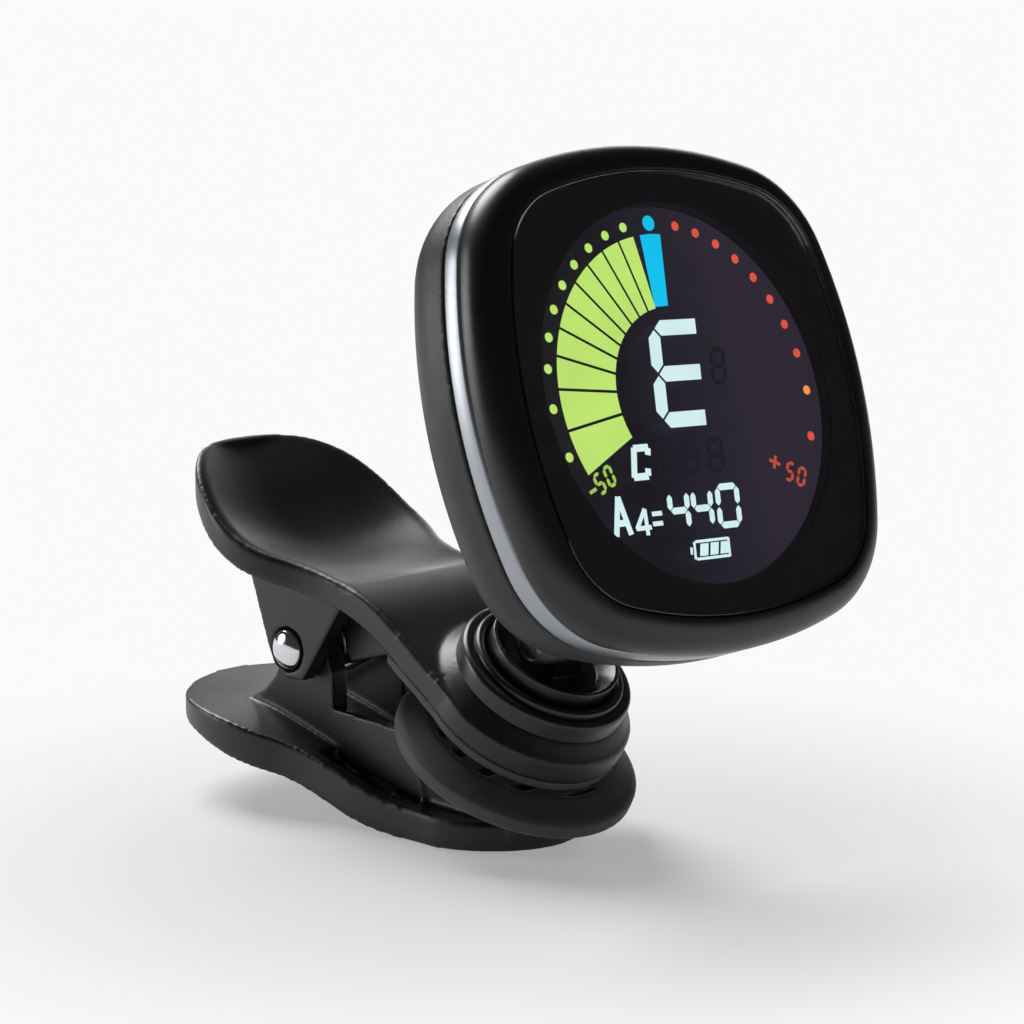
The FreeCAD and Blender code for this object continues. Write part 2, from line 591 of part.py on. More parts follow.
def pivot_pin():
    shaft = cross_rod(PIN_RADIUS, PIVOT, -EAR_OUTER + 0.1, EAR_OUTER - 0.1)
    flange = cross_rod(PIN_HEAD_RADIUS, PIVOT, -EAR_OUTER + 0.1, -EAR_OUTER + 0.9)
    dome_radius = 2.6
    drop = math.sqrt(dome_radius**2 - PIN_HEAD_RADIUS**2)
    dome = Part.makeSphere(dome_radius, V(PIVOT.x, -EAR_OUTER + 0.1 + drop, PIVOT.z))
    dome = dome.common(Part.makeBox(8, 3, 8, V(PIVOT.x - 4, -EAR_OUTER + 0.1 - 3, PIVOT.z - 4)))
    return fuse([shaft, flange, dome])


def pin_cap():
    """Push-on cap that keeps the pin in, on the far ear."""
    cap = cross_rod(PIN_HEAD_RADIUS, PIVOT, EAR_OUTER - 0.9, EAR_OUTER + 0.3)
    return cap.cut(cross_rod(PIN_RADIUS, PIVOT, 0, EAR_OUTER - 0.1))


def torsion_spring():
    """Coil round the pin, with one leg up to the upper paddle and one down to the lower."""
    pitch = SPRING_WIRE + 0.12
    height = pitch * SPRING_TURNS
    ring = Part.Circle(V(SPRING_COIL_RADIUS, 0, 0), Y_AXIS, SPRING_WIRE / 2).toShape()
    helix = Part.makeHelix(pitch, height, SPRING_COIL_RADIUS)
    coil = Part.Wire(helix).makePipeShell([Part.Wire([ring])], True, True)
    end = math.radians(360 * SPRING_TURNS)
    last = V(SPRING_COIL_RADIUS * math.cos(end), SPRING_COIL_RADIUS * math.sin(end), height)
    upper_leg = Part.makeCylinder(SPRING_WIRE / 2, UPPER_LEG, V(SPRING_COIL_RADIUS, 0, 0), V(0, -1, 0))
    lower_leg = Part.makeCylinder(SPRING_WIRE / 2, LOWER_LEG, last, V(-math.sin(end), math.cos(end), 0))
    spring = fuse([coil, upper_leg, lower_leg])
    spring.translate(V(0, 0, -height / 2))
    turn = FreeCAD.Rotation(Y_AXIS, -SPRING_START) * FreeCAD.Rotation(V(1, 0, 0), -90)
    return placed(spring, FreeCAD.Placement(PIVOT, turn))


os.makedirs("parts", exist_ok=True)
HEAD = head_place()
POWER, MODE, PITCH = key_places()[1], key_places()[0], key_places()[2]
PARTS = {
    "front_bezel": placed(front_bezel(), HEAD),
    "window_lens": placed(window_lens(), HEAD),
    "window_mask": placed(window_mask(), HEAD),
    "lcd_panel": placed(lcd_panel(), HEAD),
    "backlight_plate": placed(backlight_plate(), HEAD),
    "lcd_frame": placed(lcd_frame(), HEAD),
    "lcd_connectors": placed(lcd_connectors(), HEAD),
    "circuit_board": placed(circuit_board(), HEAD),
    "main_chip": placed(main_chip(), HEAD),
    "key_switches": placed(key_switches(), HEAD),
    "charging_socket": placed(charging_socket(), HEAD),
    "battery": placed(battery(), HEAD),
    "piezo_sensor": placed(piezo_sensor(), HEAD),
    "trim_band": placed(trim_band(), HEAD),
    "rear_cover": placed(rear_cover(), HEAD),
    "case_screws": placed(case_screws(), HEAD),
    "power_button": placed(button(POWER), HEAD),
    "mode_button": placed(button(MODE), HEAD),
    "pitch_button": placed(button(PITCH), HEAD),
    "hinge_screw": placed(hinge_screw(), HEAD),
    "hinge_nut": placed(hinge_nut(), HEAD),
    "swivel_disc": placed(swivel_disc(), neck_place(HEAD_TURN)),
    "swivel_screw": placed(swivel_screw(), neck_place(HEAD_TURN)),
    "swivel_washer": placed(swivel_washer(), neck_place(HEAD_TURN)),
    "swivel_collar": placed(swivel_collar(), neck_place()),
    "upper_arm": upper_arm(),
    "upper_liner": upper_liner(),
    "lower_arm": lower_arm(),
    "lower_pad": lower_pad(),
    "pivot_pin": pivot_pin(),
    "pin_cap": pin_cap(),
    "torsion_spring": torsion_spring(),
}
for name, shape in PARTS.items():
    shape.exportStep("parts/%s.step" % name)
    print("%-16s solids %d valid %s volume %.1f" % (name, len(shape.Solids), shape.isValid(), shape.Volume))
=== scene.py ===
import json
import math

import bmesh
import bpy
from mathutils import Matrix, Vector


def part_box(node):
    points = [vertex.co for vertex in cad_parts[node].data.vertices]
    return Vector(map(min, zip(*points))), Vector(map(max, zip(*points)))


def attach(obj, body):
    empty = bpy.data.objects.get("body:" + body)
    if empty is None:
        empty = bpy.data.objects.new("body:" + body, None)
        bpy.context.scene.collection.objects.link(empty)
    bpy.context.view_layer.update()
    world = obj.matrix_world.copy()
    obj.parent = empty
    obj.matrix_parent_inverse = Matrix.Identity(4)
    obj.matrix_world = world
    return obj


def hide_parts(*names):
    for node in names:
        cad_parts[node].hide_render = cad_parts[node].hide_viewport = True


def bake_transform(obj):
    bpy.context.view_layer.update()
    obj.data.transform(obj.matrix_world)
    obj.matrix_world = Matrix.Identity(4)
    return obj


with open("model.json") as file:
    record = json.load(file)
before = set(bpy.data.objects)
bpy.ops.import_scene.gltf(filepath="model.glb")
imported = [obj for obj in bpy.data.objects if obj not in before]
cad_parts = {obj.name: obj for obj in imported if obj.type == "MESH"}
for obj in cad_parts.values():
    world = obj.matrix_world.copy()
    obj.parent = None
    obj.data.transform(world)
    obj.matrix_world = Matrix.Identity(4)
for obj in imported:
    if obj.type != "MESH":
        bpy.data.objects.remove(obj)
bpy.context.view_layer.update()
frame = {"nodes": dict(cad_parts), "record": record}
MM = 0.001

# ---- Lower arm ------------------------------------------------------------------------------
# The clip's bottom lever, one ABS moulding with a thumb paddle, two pivot ears and a pad seat.
# Moulding leaves every edge soft and the skin lightly grained, so light spreads on it in a
# broad satin sheen with no sharp line anywhere.


def linear(code):
    """An sRGB hex colour as the linear RGBA that the shaders take."""
    parts = [int(code[i:i + 2], 16) / 255 for i in (1, 3, 5)]
    return [c / 12.92 if c <= 0.04045 else ((c + 0.055) / 1.055) ** 2.4 for c in parts] + [1.0]


def add(tree, kind, settings, **links):
    """Adds a node, with settings for its sockets and attributes, and links into its sockets."""
    made = tree.nodes.new(kind)
    for key, value in settings.items():
        if isinstance(key, int) or key in made.inputs:
            made.inputs[key].default_value = value
        else:
            setattr(made, key, value)
    for key, source in links.items():
        target = made.inputs[int(key[1:])] if key[0] == "_" else made.inputs[key.replace("_", " ")]
        tree.links.new(source, target)
    return made


def start_material(name, base, roughness, **sockets):
    """A material with one Principled shader and the object's own coordinates, in metres."""
    made = bpy.data.materials.new(name)
    made.use_nodes = True
    tree = made.node_tree
    shader = tree.nodes["Principled BSDF"]
    shader.inputs["Base Color"].default_value = linear(base)
    shader.inputs["Roughness"].default_value = roughness
    for key, value in sockets.items():
        shader.inputs[key.replace("_", " ")].default_value = value
    place = add(tree, "ShaderNodeTexCoord", {}).outputs["Object"]
    return made, tree, shader, place


def give(piece, material):
    """Puts a material on every slot of a piece."""
    if piece.material_slots:
        for held in piece.material_slots:
            held.link = "OBJECT"
            held.material = material
    else:
        piece.data.materials.append(material)


def soft_copy(node, voxel, rounds):
    """A node's shape as one skin with softened edges, as a mould leaves it."""
    source = frame["nodes"][node]
    piece = bpy.data.objects.new(node + "_moulding", source.data.copy())
    bpy.context.scene.collection.objects.link(piece)
    skin = piece.modifiers.new("skin", "REMESH")
    skin.mode, skin.voxel_size, skin.use_smooth_shade = "VOXEL", voxel * MM, True
    ease = piece.modifiers.new("ease", "SMOOTH")
    ease.factor, ease.iterations = 0.5, rounds
    settle(piece)
    piece.data.materials.clear()
    return piece


def settle(piece):
    """Makes a piece's modifiers part of its mesh."""
    graph = bpy.context.evaluated_depsgraph_get()
    settled = bpy.data.meshes.new_from_object(piece.evaluated_get(graph))
    piece.modifiers.clear()
    piece.data = settled


def round_rim(piece, picked, rounds):
    """Eases the picked vertices further, where the mould has a broad radius."""
    rim = piece.vertex_groups.new(name="rim")
    rim.add([v.index for v in piece.data.vertices if picked(v.co / MM)], 1.0, "REPLACE")
    ease = piece.modifiers.new("ease_rim", "SMOOTH")
    ease.factor, ease.iterations, ease.vertex_group = 0.5, rounds, "rim"
    settle(piece)


def moulded_plastic(name, base, roughness, grain_mm, depth_mm):
    """Injection-moulded plastic: spark-eroded grain, with a faint change of gloss where it flowed."""
    made, tree, shader, place = start_material(name, base, roughness, IOR=1.53)
    flow = add(tree, "ShaderNodeTexNoise", {"Scale": 1000 / 9.0, "Detail": 3.0}, Vector=place)
    gloss = add(tree, "ShaderNodeMapRange", {"From Min": 0.3, "From Max": 0.7, "To Min": roughness - 0.04,
                                             "To Max": roughness + 0.05}, Value=flow.outputs[0])
    tree.links.new(gloss.outputs[0], shader.inputs["Roughness"])
    grain = add(tree, "ShaderNodeTexNoise", {"Scale": 1000 / grain_mm, "Detail": 2.0, "Roughness": 0.6},
                Vector=place)
    relief = add(tree, "ShaderNodeBump", {"Strength": 0.55, "Distance": depth_mm * MM},
                 Height=grain.outputs[0])
    tree.links.new(relief.outputs[0], shader.inputs["Normal"])
    return made


# A moulded grain is too fine to show from where the clip is seen whole, so it is drawn at 0.3 mm.
clip_abs = moulded_plastic("black ABS, fine grain", "#101112",
                           roughness=0.40, grain_mm=0.30, depth_mm=0.03)
lower_arm = soft_copy("lower_arm", voxel=0.2, rounds=9)
give(lower_arm, clip_abs)
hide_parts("lower_arm")
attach(lower_arm, "lower_jaw")

# ---- Lower pad ------------------------------------------------------------------------------
# A round cushion of moulded rubber, bonded in the lower arm's seat. Its face is cut with
# grooves that keep a headstock from sliding, and its rim is thin enough to bend.
# Rubber of this kind is dark grey and nearly matte, with a dusty bloom in its pores.


def lathe(name, profile, place, steps=96):
    """Turns a closed (radius, height) profile, in millimetres, about the Z axis of place."""
    made = bmesh.new()
    rings = []
    for i in range(steps):
        turn = 2 * math.pi * i / steps
        spots = [Vector((r * math.cos(turn) * MM, r * math.sin(turn) * MM, z * MM)) for r, z in profile]
        rings.append([made.verts.new(place @ spot) for spot in spots])
    for i, ring in enumerate(rings):
        following = rings[(i + 1) % steps]
        for j in range(len(profile)):
            k = (j + 1) % len(profile)
            made.faces.new((ring[j], following[j], following[k], ring[k]))
    bmesh.ops.remove_doubles(made, verts=made.verts, dist=1e-7)
    return finished(name, made)


def finished(name, made, angle=35):
    """Turns mesh code into a shaded piece, with its normals outward and crisp edges kept."""
    bmesh.ops.recalc_face_normals(made, faces=made.faces)
    mesh = bpy.data.meshes.new(name)
    made.to_mesh(mesh)
    made.free()
    piece = bpy.data.objects.new(name, mesh)
    bpy.context.scene.collection.objects.link(piece)
    mesh.shade_smooth()
    mesh.set_sharp_from_angle(angle=math.radians(angle))
    return piece


def arc(r, z, radius, first, last, steps=6):
    """Points of a profile's rounded corner, with its centre at (r, z)."""
    turns = [math.radians(first + (last - first) * i / steps) for i in range(steps + 1)]
    return [(r + radius * math.cos(t), z + radius * math.sin(t)) for t in turns]


pad_rubber, tree, shader, place = start_material("dark grey rubber", "#424340", 0.62, IOR=1.52)
bloom = add(tree, "ShaderNodeTexNoise", {"Scale": 1000 / 2.5, "Detail": 5.0}, Vector=place)
dust = add(tree, "ShaderNodeMix", {"data_type": "RGBA", 6: linear("#3a3b38"), 7: linear("#4d4e4a")},
           _0=bloom.outputs[0])
tree.links.new(dust.outputs[2], shader.inputs["Base Color"])
pores = add(tree, "ShaderNodeTexNoise", {"Scale": 1000 / 0.35, "Detail": 2.0}, Vector=place)
relief = add(tree, "ShaderNodeBump", {"Strength": 0.5, "Distance": 0.03 * MM}, Height=pores.outputs[0])
tree.links.new(relief.outputs[0], shader.inputs["Normal"])
lower_pad = soft_copy("lower_pad", voxel=0.16, rounds=3)
give(lower_pad, pad_rubber)
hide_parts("lower_pad")
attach(lower_pad, "lower_jaw")

# ---- Torsion spring -------------------------------------------------------------------------
# Hard-drawn steel wire, 0.9 mm, coiled cold round the pin and oiled against rust.
# Drawing leaves fine lines along the wire and a soft grey shine. On the clip its upper leg goes with the
# upper arm and its lower leg with the lower one, so the coil between them is what twists; here the spring
# stays in place, attached to neither arm.
spring_steel, tree, shader, place = start_material("oiled spring wire", "#8d9093", 0.30, Metallic=1.0)
lines = add(tree, "ShaderNodeTexNoise", {"Scale": 1000 / 0.25, "Detail": 3.0}, Vector=place)
sheen = add(tree, "ShaderNodeMapRange", {"To Min": 0.22, "To Max": 0.42}, Value=lines.outputs[0])
tree.links.new(sheen.outputs[0], shader.inputs["Roughness"])
joints = {joint["name"]: joint for joint in frame["record"]["behaviour"]["joints"]}
torsion_spring = soft_copy("torsion_spring", voxel=0.12, rounds=2)
give(torsion_spring, spring_steel)
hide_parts("torsion_spring")
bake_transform(torsion_spring)

# ---- Upper arm and its liner ----------------------------------------------------------------
# The clip's top lever, moulded like the lower one, with a spoon-shaped paddle for the thumb,
# ears that straddle the lower arm's, and a round nose for the neck.
# A thin sheet of the pad's rubber is bonded under the nose.
ARM_TOP = [(-34.0, 33.2), (-30.0, 31.9), (-26.0, 29.3), (-22.0, 26.6), (-16.0, 24.4), (-10.0, 23.1),
           (-5.0, 21.6), (-1.5, 19.6), (3.0, 16.8), (8.5, 13.3)]
ROUNDED_DEPTH, NOSE_START = 2.6 * 0.6, 4.0


def on_lever(p):
    """Whether a point of the upper arm, in millimetres, is in the top of its bent plate."""
    spans = [pair for pair in zip(ARM_TOP, ARM_TOP[1:]) if pair[0][0] <= p.x <= pair[1][0]]
    if not spans:
        return p.x < ARM_TOP[0][0]
    (ax, az), (bx, bz) = spans[0]
    drop = az + (bz - az) * (p.x - ax) / (bx - ax) - p.z
    return drop < ROUNDED_DEPTH and p.x < NOSE_START


upper_arm = soft_copy("upper_arm", voxel=0.2, rounds=8)
round_rim(upper_arm, on_lever, rounds=24)
give(upper_arm, clip_abs)
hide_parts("upper_arm")
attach(upper_arm, "upper_jaw")
upper_liner = soft_copy("upper_liner", voxel=0.16, rounds=2)
give(upper_liner, pad_rubber)
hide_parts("upper_liner")
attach(upper_liner, "upper_jaw")

# ---- Pivot pin and its cap ------------------------------------------------------------------
# A turned steel pin with a domed head, chromed and polished, so it mirrors its surroundings.
# Handling leaves hairline scratches that blur the mirror a little.
pin_chrome, tree, shader, place = start_material("polished chrome", "#d6d8da", 0.10, Metallic=1.0)
hairlines = add(tree, "ShaderNodeTexNoise", {"Scale": 1000 / 0.6, "Detail": 6.0, "Distortion": 1.5},
                Vector=place)
blur = add(tree, "ShaderNodeMapRange", {"To Min": 0.05, "To Max": 0.17}, Value=hairlines.outputs[0])
tree.links.new(blur.outputs[0], shader.inputs["Roughness"])
pin_low, pin_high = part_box("pivot_pin")
pin_x, pin_z = (pin_low.x + pin_high.x) / 2, (pin_low.z + pin_high.z) / 2
pin_place = Matrix.Translation((pin_x, pin_low.y, pin_z)) @ Matrix.Rotation(math.radians(-90), 4, "X")
pin_length = (pin_high.y - pin_low.y) / MM
PIN_HEAD, PIN_SHAFT, DOME_RISE, HEAD_DEPTH = 1.9, 1.4, 0.72, 1.5
dome = [(PIN_HEAD * math.sin(math.radians(a)), DOME_RISE * (1 - math.cos(math.radians(a))))
        for a in range(0, 91, 10)]
shaft = [(PIN_HEAD, HEAD_DEPTH), (PIN_SHAFT, HEAD_DEPTH), (PIN_SHAFT, pin_length), (0, pin_length)]
pivot_pin = lathe("pivot_pin_turned", dome + shaft, pin_place, 48)
give(pivot_pin, pin_chrome)
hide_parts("pivot_pin")
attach(pivot_pin, "upper_jaw")
give(frame["nodes"]["pin_cap"], pin_chrome)

# ---- Swivel collar --------------------------------------------------------------------------
# A stepped nylon bushing pressed into the nose, which holds the dish and gives it its friction.
# Nylon moulds smoother than the clip's ABS, so its rims carry a tighter highlight.
neck_axis = Vector(joints["head_swivel"]["axis"]).normalized()
neck_across = Vector(joints["head_tilt"]["axis"]).normalized()
neck_foot = Vector(joints["head_swivel"]["pos_m"])


def placed(origin, x, y, z):
    turn = Matrix((x, y, z)).transposed().to_4x4()
    return Matrix.Translation(origin) @ turn


neck = placed(neck_foot, neck_across.cross(neck_axis), neck_across, neck_axis)
neck_nylon = moulded_plastic("black nylon, satin", "#101113",
                             roughness=0.30, grain_mm=0.45, depth_mm=0.012)
swivel_collar = lathe("swivel_collar_moulding", [(2.45, -2.55), (6.45, -2.55), (6.45, -1.5)]
                      + arc(6.85, -1.72, 0.42, 150, 0) + [(7.3, -1.9)]
                      + arc(7.75, -2.42, 0.55, 90, 0) + [(8.28, -3.1), (8.28, -3.8), (2.45, -3.8)], neck)
give(swivel_collar, neck_nylon)
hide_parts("swivel_collar")
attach(swivel_collar, "upper_jaw")

# ---- Swivel dish, its screw and washer ------------------------------------------------------
# The dish turns in the collar and carries the knuckle that the head tilts on. It is nylon too,
# and a plated screw with a washer holds its spindle down, out of sight under the nose.
plated_steel, tree, shader, place = start_material("nickel-plated steel", "#b9bbbd", 0.28, Metallic=1.0)
turning = add(tree, "ShaderNodeTexNoise", {"Scale": 1000 / 0.4, "Detail": 4.0}, Vector=place)
shine = add(tree, "ShaderNodeMapRange", {"To Min": 0.2, "To Max": 0.38}, Value=turning.outputs[0])
tree.links.new(shine.outputs[0], shader.inputs["Roughness"])
swivel_disc = soft_copy("swivel_disc", voxel=0.11, rounds=3)
give(swivel_disc, neck_nylon)
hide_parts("swivel_disc")
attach(swivel_disc, "swivel")
for name in ("swivel_screw", "swivel_washer", "hinge_screw", "case_screws", "charging_socket"):
    give(frame["nodes"][name], plated_steel)

# ---- Rear cover -----------------------------------------------------------------------------
# The head's back shell and the hinge lug are one ABS moulding, with a deeper grain than the
# clip's so that it doesn't show fingerprints. It reads as a soft, dark, even grey-black.
head_hinge = Vector(joints["head_tilt"]["pos_m"])
head_out = Vector(joints["power_press"]["axis"]).normalized()
head_up = head_out.cross(neck_across)
HINGE_BELOW, HINGE_BEHIND = 17.35 * MM, 22.9 * MM
head = placed(head_hinge + head_up * HINGE_BELOW + head_out * HINGE_BEHIND, neck_across, head_up, head_out)
HALF, CORNER_CENTRE, CORNER_RADIUS = 22.4, 10.0, 11.0


def rounded_square(inset):
    """The head's outline, taken in by inset: four side arcs and four corner arcs."""
    reach = HALF - CORNER_CENTRE
    side_radius = (CORNER_RADIUS ** 2 - CORNER_CENTRE ** 2 - reach ** 2) / (2 * (CORNER_RADIUS - reach))
    side_centre = HALF - side_radius
    spread = math.atan2(CORNER_CENTRE, CORNER_CENTRE - side_centre)
    points = []
    for quarter in range(4):
        turn = math.pi / 2 * quarter
        for i in range(16):
            at = turn - spread + 2 * spread * i / 16
            points.append((side_centre * math.cos(turn) + (side_radius - inset) * math.cos(at),
                           side_centre * math.sin(turn) + (side_radius - inset) * math.sin(at)))
        corner = (CORNER_CENTRE * (math.cos(turn) - math.sin(turn)),
                  CORNER_CENTRE * (math.sin(turn) + math.cos(turn)))
        for i in range(20):
            at = turn + spread + (math.pi / 2 - 2 * spread) * i / 20
            points.append((corner[0] + (CORNER_RADIUS - inset) * math.cos(at),
                           corner[1] + (CORNER_RADIUS - inset) * math.sin(at)))
    return points


def housing_loft(name, profile, closed):
    """Sweeps an (inset, height) profile round the head's outline; open profiles are capped."""
    made = bmesh.new()
    rings = [[made.verts.new(head @ Vector((x * MM, y * MM, z * MM))) for x, y in rounded_square(inset)]
             for inset, z in profile]
    for i in range(len(rings) - (not closed)):
        ring, following = rings[i], rings[(i + 1) % len(rings)]
        for j in range(len(ring)):
            k = (j + 1) % len(ring)
            made.faces.new((ring[j], ring[k], following[k], following[j]))
    if not closed:
        made.faces.new(rings[0])
        made.faces.new(rings[-1])
    return finished(name, made)


shell_abs = moulded_plastic("black ABS, deep grain", "#161719",
                            roughness=0.46, grain_mm=0.34, depth_mm=0.045)
rear_cover = soft_copy("rear_cover", voxel=0.24, rounds=4)
give(rear_cover, shell_abs)
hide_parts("rear_cover")
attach(rear_cover, "head")

# ---- Electronics ----------------------------------------------------------------------------
# Inside the shell: a solder-masked glass-epoxy board with its chip and switches, a pouch cell,
# a brass sensor disc, and rubber strips that join the display to the board.
board_mask, tree, shader, place = start_material("green solder mask", "#17492f", 0.35, IOR=1.5)
tracks = add(tree, "ShaderNodeTexBrick", {"Scale": 1000 / 4.0, "Color1": linear("#17492f"),
                                          "Color2": linear("#1d5638"), "Mortar": linear("#2c7048")},
             Vector=place)
tree.links.new(tracks.outputs[0], shader.inputs["Base Color"])
give(frame["nodes"]["circuit_board"], board_mask)
chip_resin = moulded_plastic("black epoxy, matt", "#1c1c1e",
                             roughness=0.6, grain_mm=0.3, depth_mm=0.02)
give(frame["nodes"]["main_chip"], chip_resin)
inner_abs = moulded_plastic("black ABS, plain", "#232426",
                            roughness=0.5, grain_mm=0.5, depth_mm=0.02)
for name in ("key_switches", "lcd_frame"):
    give(frame["nodes"][name], inner_abs)
battery_foil, tree, shader, place = start_material("laminated pouch foil", "#b4b8bb", 0.34, Metallic=1.0)
creases = add(tree, "ShaderNodeTexNoise", {"Scale": 1000 / 6.0, "Detail": 4.0}, Vector=place)
relief = add(tree, "ShaderNodeBump", {"Strength": 0.4, "Distance": 0.2 * MM}, Height=creases.outputs[0])
tree.links.new(relief.outputs[0], shader.inputs["Normal"])
give(frame["nodes"]["battery"], battery_foil)
plain_brass, tree, shader, place = start_material("plain brass", "#c9a15a", 0.3, Metallic=1.0)
tarnish = add(tree, "ShaderNodeTexNoise", {"Scale": 1000 / 2.0, "Detail": 4.0}, Vector=place)
tone = add(tree, "ShaderNodeMix", {"data_type": "RGBA", 6: linear("#c9a15a"), 7: linear("#a8813f")},
           _0=tarnish.outputs[0])
tree.links.new(tone.outputs[2], shader.inputs["Base Color"])
for name in ("piezo_sensor", "hinge_nut"):
    give(frame["nodes"][name], plain_brass)
contact_rubber, tree, shader, place = start_material("striped contact rubber", "#c86f8a", 0.6, IOR=1.45)
stripes = add(tree, "ShaderNodeTexWave", {"Scale": 1000 / 0.8, "bands_direction": "Y"}, Vector=place)
bands = add(tree, "ShaderNodeMix", {"data_type": "RGBA", 6: linear("#c86f8a"), 7: linear("#2a2a2c")},
            _0=stripes.outputs[1])
tree.links.new(bands.outputs[2], shader.inputs["Base Color"])
give(frame["nodes"]["lcd_connectors"], contact_rubber)

# ---- Display --------------------------------------------------------------------------------
# A round negative liquid-crystal panel: the glass is near black and its segments pass the light guide's
# glow, each through its own printed colour. The glass lets a faint purple glow through too, as backlight
# leaking through it, and this glow is made brighter towards one side of the disc as a painted sheen. Unlit
# segments show as faint ghosts.
LCD_FACE, RING = -2.1, 15.2
lcd_glass, tree, shader, place = start_material("display glass", "#0b0d12", 0.12, IOR=1.52)
haze = add(tree, "ShaderNodeTexNoise", {"Scale": 1000 / 14.0, "Detail": 1.0}, Vector=place)
tint = add(tree, "ShaderNodeMix", {"data_type": "RGBA", 6: linear("#0b0b10"), 7: linear("#171722")},
           _0=haze.outputs[0])
tree.links.new(tint.outputs[2], shader.inputs["Base Color"])
# The glass's faint purple glow stands for backlight leaking through it. Its rise from one side of the disc
# to the other is a painted sheen.
shader.inputs["Emission Color"].default_value = linear("#9282a6")
along = add(tree, "ShaderNodeSeparateXYZ", {}, Vector=place)
leak_and_painted_sheen = add(tree, "ShaderNodeMapRange", {"From Min": -6 * MM, "From Max": 8 * MM, "To Min": 0.025,
                                        "To Max": 0.085}, Value=along.outputs["Y"])
tree.links.new(leak_and_painted_sheen.outputs[0], shader.inputs["Emission Strength"])
LCD_EDGE, LCD_BEVEL, LCD_BACK = 16.68, 0.1, LCD_FACE - 1.15
lcd_panel = lathe("lcd_panel_glass", [(0, LCD_FACE), (LCD_EDGE - LCD_BEVEL, LCD_FACE),
                                      (LCD_EDGE, LCD_FACE - LCD_BEVEL), (LCD_EDGE, LCD_BACK), (0, LCD_BACK)],
                  head, 128)
give(lcd_panel, lcd_glass)
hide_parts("lcd_panel")
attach(lcd_panel, "head")
light_guide, tree, shader, place = start_material("white light guide", "#e8ecec", 0.5, IOR=1.49)
dots = add(tree, "ShaderNodeTexVoronoi", {"Scale": 1000 / 0.8}, Vector=place)
dot_relief = add(tree, "ShaderNodeBump", {"Strength": 0.3, "Distance": 0.05 * MM}, Height=dots.outputs[0])
tree.links.new(dot_relief.outputs[0], shader.inputs["Normal"])
give(frame["nodes"]["backlight_plate"], light_guide)


def lit(name, colour, glow):
    """A lit segment's printed colour, a little uneven as the light guide under it is."""
    made, tree, shader, place = start_material(name, "#000000", 0.5)
    shader.inputs["Emission Color"].default_value = linear(colour)
    patches = add(tree, "ShaderNodeTexNoise", {"Scale": 1000 / 5.0, "Detail": 1.0}, Vector=place)
    level = add(tree, "ShaderNodeMapRange", {"To Min": glow * 0.9, "To Max": glow * 1.08},
                Value=patches.outputs[0])
    tree.links.new(level.outputs[0], shader.inputs["Emission Strength"])
    return made


def segments(name, shapes, material, lift=0.03, across=0.0):
    """Flat segments on the display, each a closed outline in the panel's own millimetres."""
    made = bmesh.new()
    for outline in shapes:
        flat = [((x + across) * MM, y * MM) for x, y in outline]
        tops = [made.verts.new(head @ Vector((x, y, (LCD_FACE + lift) * MM))) for x, y in flat]
        feet = [made.verts.new(head @ Vector((x, y, LCD_FACE * MM))) for x, y in flat]
        made.faces.new(tops)
        made.faces.new(feet[::-1])
        for i in range(len(tops)):
            k = (i + 1) % len(tops)
            made.faces.new((tops[i], feet[i], feet[k], tops[k]))
    piece = finished(name, made)
    give(piece, material)
    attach(piece, "head")
    return piece


def dot(angle, radius, size):
    """A round dot at an angle clockwise from the top of the scale."""
    x, y = radius * math.sin(math.radians(angle)), radius * math.cos(math.radians(angle))
    turns = [i * math.pi / 10 for i in range(20)]
    return [(x + size * math.cos(t), y + size * math.sin(t)) for t in turns]


def wedge(first, last, near, far, gap):
    """A ring sector between two angles, clockwise from the top, with a straight gap on each side."""
    outline = []
    for radius, order in ((far, 1), (near, -1)):
        trim = math.degrees(gap / radius)
        degrees = [first + trim + (last - first - 2 * trim) * i / 6 for i in range(7)][::order]
        outline += [(radius * math.sin(math.radians(t)), radius * math.cos(math.radians(t)))
                    for t in degrees]
    return outline


DOT_ANGLES = [11.8, 20.8, 30.0, 39.3, 48.7, 58.3, 68.2, 78.7, 91.6, 107.5]
bounds_between = [(a + b) / 2 for a, b in zip(DOT_ANGLES, DOT_ANGLES[1:])]
FIRST_EDGE, LAST_EDGE = 8.2, 116.4
WEDGE_NEAR, WEDGE_FAR, WEDGE_GAP = 7.75, 14.2, 0.13
DOT_SIZE, CENTRE_DOT_SIZE, AMBER_DOT = 0.42, 0.68, 8
edges = [FIRST_EDGE] + bounds_between + [LAST_EDGE]
green = lit("lime segment", "#c4ee74", 1.0)
segments("scale_dots_flat", [dot(-a, RING, DOT_SIZE) for a in DOT_ANGLES], green)
wedges = [wedge(-b, -a, WEDGE_NEAR, WEDGE_FAR, WEDGE_GAP) for a, b in zip(edges, edges[1:])]
segments("scale_wedges_flat", wedges, green)
blue = lit("sky segment", "#06c8f8", 1.0)
centre_wedge = [(-1.3, 14.15), (-0.1, 14.25), (1.1, 14.18), (0.3, 7.85), (-1.25, 7.8)]
segments("scale_centre", [centre_wedge, dot(0, RING, CENTRE_DOT_SIZE)], blue)
red = lit("coral segment", "#e6563f", 1.0)
red_angles = DOT_ANGLES[:AMBER_DOT] + DOT_ANGLES[AMBER_DOT + 1:]
segments("scale_dots_sharp", [dot(a, RING, DOT_SIZE) for a in red_angles], red)
amber = lit("amber segment", "#fe9e4e", 1.0)
segments("scale_dot_amber", [dot(DOT_ANGLES[AMBER_DOT], RING, DOT_SIZE)], amber)

# Each character is made of up to seven slanted bars, pointed at both ends where they meet. The
# bars of the note's letter that end free are cut square and a little longer.
BARS = {"top": ((0, 2), (1, 2)), "mid": ((0, 1), (1, 1)), "low": ((0, 0), (1, 0)), "tl": ((0, 1), (0, 2)),
        "tr": ((1, 1), (1, 2)), "bl": ((0, 0), (0, 1)), "br": ((1, 0), (1, 1))}
CHARACTERS = {"E": "top mid low tl bl", "4": "tl tr mid br", "0": "top low tl tr bl br",
              "5": "top mid low tl br", "8": "top mid low tl tr bl br"}


